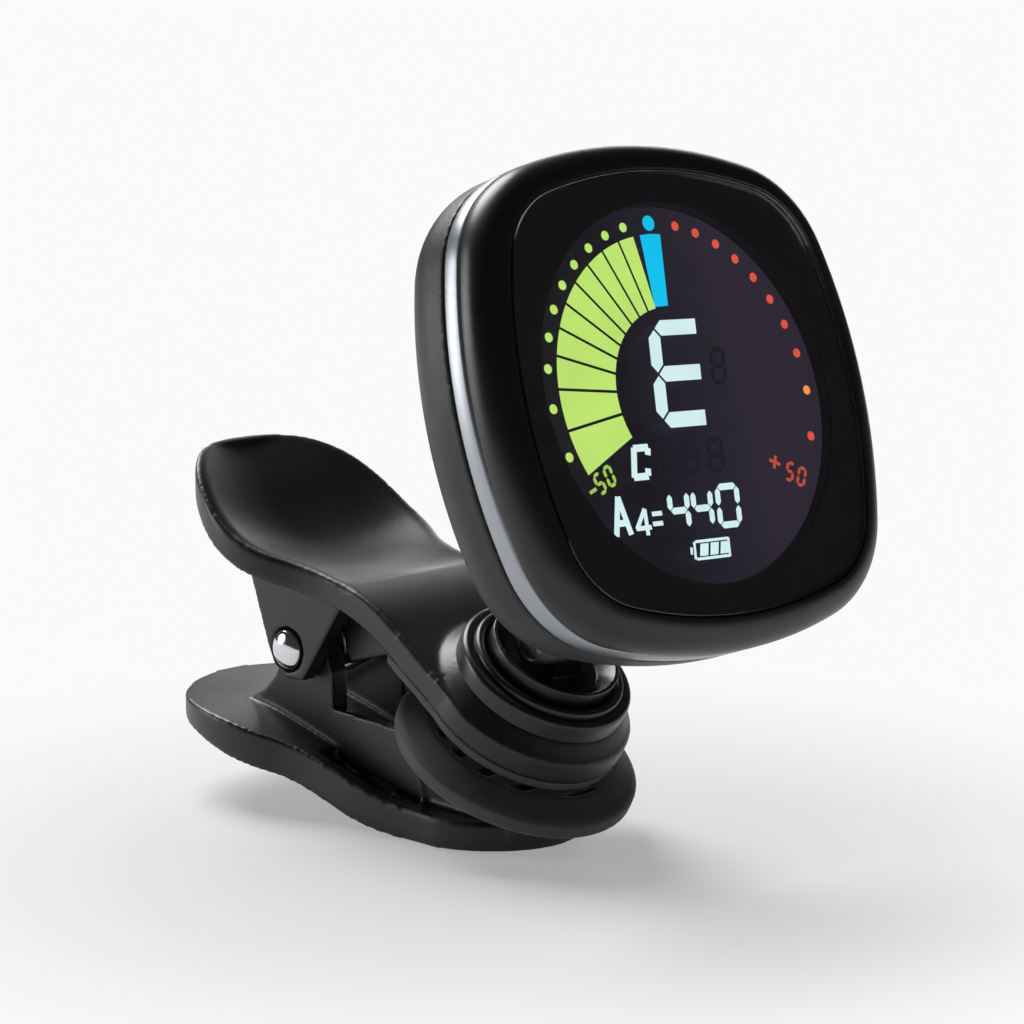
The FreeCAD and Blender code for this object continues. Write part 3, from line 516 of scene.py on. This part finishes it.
def character(letter, x, y, width, height, bar, slant=0.1, tilt=0.0):
    """The lit bars of one character, with its lower left corner at (x, y)."""
    shapes = []
    for name in CHARACTERS[letter].split():
        (ax, ay), (bx, by) = BARS[name]
        start = Vector((ax * (width - bar) + bar / 2, ay * (height - bar) / 2 + bar / 2))
        end = Vector((bx * (width - bar) + bar / 2, by * (height - bar) / 2 + bar / 2))
        along = (end - start).normalized()
        side = Vector((-along.y, along.x)) * bar / 2
        near, far = start + along * bar * 0.12, end - along * bar * 0.12
        tip = along * bar / 2
        outline = [near, near + tip + side, far - tip + side, far, far - tip - side, near + tip - side]
        if letter == "E" and ay == by:
            outline = [near, near + tip + side, far + tip + side, far + tip - side, near + tip - side]
        turn = Matrix.Rotation(math.radians(tilt), 2)
        spots = [turn @ Vector((p.x + p.y * slant, p.y)) for p in outline]
        shapes.append([(x + p.x, y + p.y) for p in spots])
    return shapes


def stroke(points, thick):
    """Straight strokes of one thickness between pairs of points."""
    shapes = []
    for (ax, ay), (bx, by) in points:
        along = Vector((bx - ax, by - ay)).normalized()
        side = Vector((-along.y, along.x)) * thick / 2
        shapes.append([(ax + side.x, ay + side.y), (bx + side.x, by + side.y), (bx - side.x, by - side.y),
                       (ax - side.x, ay - side.y)])
    return shapes


white = lit("white segment", "#d6f3f5", 1.05)
note = character("E", -3.5, -2.8, 5.9, 9.4, 1.35, 0.13)
# The window's acrylic bends the view of the display to one side, which this makes up for.
FIGURES_SHIFT = -0.28
segments("note_letter", note, white, across=FIGURES_SHIFT)
octave = stroke([((-5.35, -4.95), (-5.2, -4.35)), ((-5.15, -4.3), (-6.85, -4.3)),
                 ((-6.8, -4.25), (-7.4, -6.8)), ((-7.45, -6.75), (-5.75, -6.75)),
                 ((-5.75, -6.7), (-5.65, -6.1))], 0.62)
segments("octave_letter", octave, white, across=FIGURES_SHIFT)
pitch = stroke([((-10.75, -11.55), (-9.75, -8.25)), ((-9.75, -8.25), (-9.05, -11.55)),
                ((-10.3, -10.5), (-9.35, -10.5))], 0.56)
pitch += stroke([((-7.15, -11.75), (-7.0, -9.5)), ((-7.0, -9.5), (-8.3, -11.15)),
                 ((-8.35, -11.1), (-6.6, -11.1))], 0.4)
pitch += stroke([((-6.25, -10.0), (-5.1, -10.0)), ((-6.35, -10.85), (-5.2, -10.85))], 0.4)
for x in (-4.55, -1.75):
    pitch += character("4", x, -11.75, 2.6, 3.6, 0.58, 0.12)
pitch += character("0", 1.2, -11.9, 2.9, 3.9, 0.58, 0.12)
segments("pitch_figures", pitch, white, across=FIGURES_SHIFT)
cell = stroke([((-1.9, -12.75), (2.05, -12.75)), ((-2.1, -14.25), (1.85, -14.25)),
               ((-2.05, -12.75), (-2.25, -14.25)), ((2.05, -12.7), (1.85, -14.3)),
               ((-2.5, -13.2), (-2.6, -13.8))], 0.24)
for x in (-1.35, -0.12, 1.1):
    cell.append([(x, -12.98), (x + 0.95, -12.98), (x + 0.62, -14.02), (x - 0.33, -14.02)])
segments("cell_symbol", cell, white, across=FIGURES_SHIFT)
SMALL_WIDE, SMALL_TALL, SMALL_BAR, SMALL_TILT = 1.05, 1.9, 0.3, 22
flat_end = stroke([((-12.75, -7.7), (-11.95, -7.4))], SMALL_BAR)
flat_end += character("5", -11.65, -8.1, SMALL_WIDE, SMALL_TALL, SMALL_BAR, tilt=SMALL_TILT)
flat_end += character("0", -10.4, -7.55, SMALL_WIDE, SMALL_TALL, SMALL_BAR, tilt=SMALL_TILT)
lime = lit("lime figures", "#b7e05c", 0.85)
segments("flat_end_figures", flat_end, lime, across=FIGURES_SHIFT)
sharp_end = stroke([((9.0, -6.35), (10.2, -6.85)), ((9.35, -7.15), (9.85, -6.05))], SMALL_BAR)
sharp_end += character("5", 10.3, -8.2, SMALL_WIDE, SMALL_TALL, SMALL_BAR, tilt=-SMALL_TILT)
sharp_end += character("0", 11.6, -8.75, SMALL_WIDE, SMALL_TALL, SMALL_BAR, tilt=-SMALL_TILT)
coral = lit("coral figures", "#d9573f", 0.8)
segments("sharp_end_figures", sharp_end, coral, across=FIGURES_SHIFT)

ghost, tree, shader, place = start_material("unlit segment", "#201e28", 0.3)
shader.inputs["Emission Color"].default_value = linear("#9282a6")
shader.inputs["Emission Strength"].default_value = 0.03
fade = add(tree, "ShaderNodeTexNoise", {"Scale": 1000 / 3.0, "Detail": 1.0}, Vector=place)
faint = add(tree, "ShaderNodeMix", {"data_type": "RGBA", 6: linear("#1c1a24"), 7: linear("#24212c")},
            _0=fade.outputs[0])
tree.links.new(faint.outputs[2], shader.inputs["Base Color"])
unlit = character("8", 3.6, 0.6, 2.0, 3.4, 0.5, 0.12)
for x in (-4.9, -1.9, 1.1):
    unlit += character("8", x, -7.0, 2.1, 3.1, 0.5, 0.12)
segments("unlit_segments", unlit, ghost, 0.015)

# ---- Trim band ------------------------------------------------------------------------------
# A thin hoop of ABS between shell and bezel, vacuum metallised and lacquered to a satin silver.
# The lacquer softens the metal's mirror, and fine lines run round the hoop.
band_silver, tree, shader, place = start_material("satin metallised trim", "#a4a8ad", 0.34, Metallic=1.0)
combing = add(tree, "ShaderNodeTexNoise", {"Scale": 1000 / 0.5, "Detail": 3.0}, Vector=place)
satin = add(tree, "ShaderNodeMapRange", {"To Min": 0.27, "To Max": 0.42}, Value=combing.outputs[0])
tree.links.new(satin.outputs[0], shader.inputs["Roughness"])
BAND_FRONT, BAND_REAR, BAND_WALL = -3.54, -5.56, 1.38
trim_band = housing_loft("trim_band_hoop", [(BAND_WALL, BAND_FRONT), (0.2, BAND_FRONT), (0.05, -3.68),
                                            (0.0, -3.85), (0.0, -5.25), (0.05, -5.42), (0.2, BAND_REAR),
                                            (BAND_WALL, BAND_REAR)], True)
give(trim_band, band_silver)
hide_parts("trim_band")
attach(trim_band, "head")

# ---- Front bezel ----------------------------------------------------------------------------
# An ABS frame with a generous outer radius, moulded satin black. It screws to the rear cover
# and holds the window in a rebate. Its smooth skin carries one long soft highlight.
bezel_abs = moulded_plastic("black ABS, satin", "#0c0d0e",
                            roughness=0.34, grain_mm=0.5, depth_mm=0.012)
BEZEL_ROUND, ROUND_CENTRE = 2.6, -2.62
back_edge = [(1.4, -3.48), (0.2, -3.48), (0.05, -3.36), (0.0, -3.15)]
shoulder = [(BEZEL_ROUND - BEZEL_ROUND * math.cos(math.radians(a)),
             ROUND_CENTRE + BEZEL_ROUND * math.sin(math.radians(a))) for a in range(0, 91, 9)]
rebate = [(2.7, -0.04), (2.8, -0.16), (2.8, -1.2), (4.4, -1.2), (4.4, -1.9), (1.4, -2.6)]
front_bezel = housing_loft("front_bezel_frame", back_edge + shoulder + rebate, True)
give(front_bezel, bezel_abs)
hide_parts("front_bezel")
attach(front_bezel, "head")

# ---- Window and its mask --------------------------------------------------------------------
# A sheet of clear acrylic, polished flat, with black ink printed on its back round the display.
# Seen from the front the ink is a deep gloss black, and the display shows through the circle.
mask_ink, tree, shader, place = start_material("black screen ink", "#060607", 0.4)
specks = add(tree, "ShaderNodeTexNoise", {"Scale": 1000 / 1.0, "Detail": 2.0}, Vector=place)
ink = add(tree, "ShaderNodeMix", {"data_type": "RGBA", 6: linear("#050506"), 7: linear("#09090a")},
          _0=specks.outputs[0])
tree.links.new(ink.outputs[2], shader.inputs["Base Color"])
give(frame["nodes"]["window_mask"], mask_ink)
clear_acrylic, tree, shader, place = start_material("clear acrylic", "#ffffff", 0.03, IOR=1.49,
                                                    Transmission_Weight=1.0)
wipes = add(tree, "ShaderNodeTexNoise", {"Scale": 1000 / 12.0, "Detail": 3.0}, Vector=place)
polish = add(tree, "ShaderNodeMapRange", {"To Min": 0.01, "To Max": 0.05}, Value=wipes.outputs[0])
tree.links.new(polish.outputs[0], shader.inputs["Roughness"])
window = housing_loft("window_sheet", [(2.98, -0.99), (2.9, -0.92), (2.9, -0.12), (3.0, -0.02)], False)
give(window, clear_acrylic)
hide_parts("window_lens")
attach(window, "head")

# ---- Keys -----------------------------------------------------------------------------------
# Three silicone caps in the back of the shell, matte and slightly soft at their edges, each
# over its own switch on the board.
key_rubber = moulded_plastic("black silicone", "#1d1e20",
                             roughness=0.62, grain_mm=0.4, depth_mm=0.02)
for node_name, body_name in (("power_button", "power_key"), ("mode_button", "mode_key"),
                             ("pitch_button", "pitch_key")):
    cap = soft_copy(node_name, voxel=0.09, rounds=3)
    give(cap, key_rubber)
    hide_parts(node_name)
    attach(cap, body_name)

# ---- Floor, light and camera ----------------------------------------------------------------
# A sheet of white paper under the clip that runs on into a lit white surround, with three soft
# lamps: one above on the left, one low behind and one low on the left. The room that the pieces
# mirror is dim, and only the view of the paper and the surround is white.
paper, tree, shader, place = start_material("white paper", "#f4f4f6", 0.9)
fibres = add(tree, "ShaderNodeTexNoise", {"Scale": 1000 / 30.0, "Detail": 2.0}, Vector=place)
shade = add(tree, "ShaderNodeMix", {"data_type": "RGBA", 6: linear("#f0f0f3"), 7: linear("#f4f4f6")},
            _0=fibres.outputs[0])
tree.links.new(shade.outputs[2], shader.inputs["Base Color"])
reach = add(tree, "ShaderNodeVectorMath", {"operation": "LENGTH"}, _0=place)
spread = add(tree, "ShaderNodeMapRange", {"interpolation_type": "SMOOTHSTEP", "From Min": 0.02,
                                          "From Max": 0.075, "To Min": 0.35},
             Value=reach.outputs["Value"])
seen = add(tree, "ShaderNodeLightPath", {})
fade = add(tree, "ShaderNodeMapRange", {"To Min": 0.7, "To Max": 1.0}, Value=seen.outputs["Is Camera Ray"])
share = add(tree, "ShaderNodeMath", {"operation": "MULTIPLY"}, _0=spread.outputs[0], _1=fade.outputs[0])
surround = add(tree, "ShaderNodeEmission", {"Color": linear("#fafafb")})
blend = add(tree, "ShaderNodeMixShader", {}, _0=share.outputs[0], _1=shader.outputs[0],
            _2=surround.outputs[0])
tree.links.new(blend.outputs[0], tree.nodes["Material Output"].inputs["Surface"])
sweep = bmesh.new()
sweep.faces.new([sweep.verts.new((x, y, -0.0001)) for x, y in ((-3, -3), (3, -3), (3, 3), (-3, 3))])
floor = finished("paper_floor", sweep)
give(floor, paper)

scene = bpy.context.scene
scene.view_settings.view_transform = "Standard"
world = bpy.data.worlds.new("studio")
world.use_nodes = True
tree = world.node_tree
room = tree.nodes["Background"]
room.inputs["Color"].default_value = linear("#e8ecf4")
room.inputs["Strength"].default_value = 0.05
backdrop = add(tree, "ShaderNodeBackground", {"Color": linear("#fafafb"), "Strength": 1.0})
seen = add(tree, "ShaderNodeLightPath", {})
blend = add(tree, "ShaderNodeMixShader", {}, _0=seen.outputs["Is Camera Ray"], _1=room.outputs[0],
            _2=backdrop.outputs[0])
tree.links.new(blend.outputs[0], tree.nodes["World Output"].inputs["Surface"])
scene.world = world


def lamp(name, spot, target, size, power):
    data = bpy.data.lights.new(name, "AREA")
    data.shape, data.size, data.energy = "DISK", size, power
    made = bpy.data.objects.new(name, data)
    made.location = spot
    made.rotation_euler = (Vector(target) - Vector(spot)).to_track_quat("-Z", "Y").to_euler()
    made.visible_camera = False
    scene.collection.objects.link(made)


lamp("overhead", (-0.36, 0.07, 0.40), target=(0, 0, 0.02), size=0.34, power=2.6)
lamp("back_panel", (-0.36, 0.52, 0.16), target=(0, 0, 0.03), size=0.34, power=1.0)
lamp("left_panel", (-0.42, -0.30, 0.12), target=(0, 0, 0.03), size=0.26, power=0.7)

lens = bpy.data.cameras.new("camera")
lens.lens, lens.sensor_width = 114.26, 36.0
lens.clip_start, lens.clip_end = 0.01, 20.0
camera = bpy.data.objects.new("camera", lens)
azimuth, elevation = math.radians(45), math.radians(10)
back = Vector((math.sin(azimuth) * math.cos(elevation), -math.cos(azimuth) * math.cos(elevation),
               math.sin(elevation)))
camera.location = (0.20981, -0.20554, 0.08147)
camera.rotation_euler = back.to_track_quat("Z", "Y").to_euler()
scene.collection.objects.link(camera)
scene.camera = camera
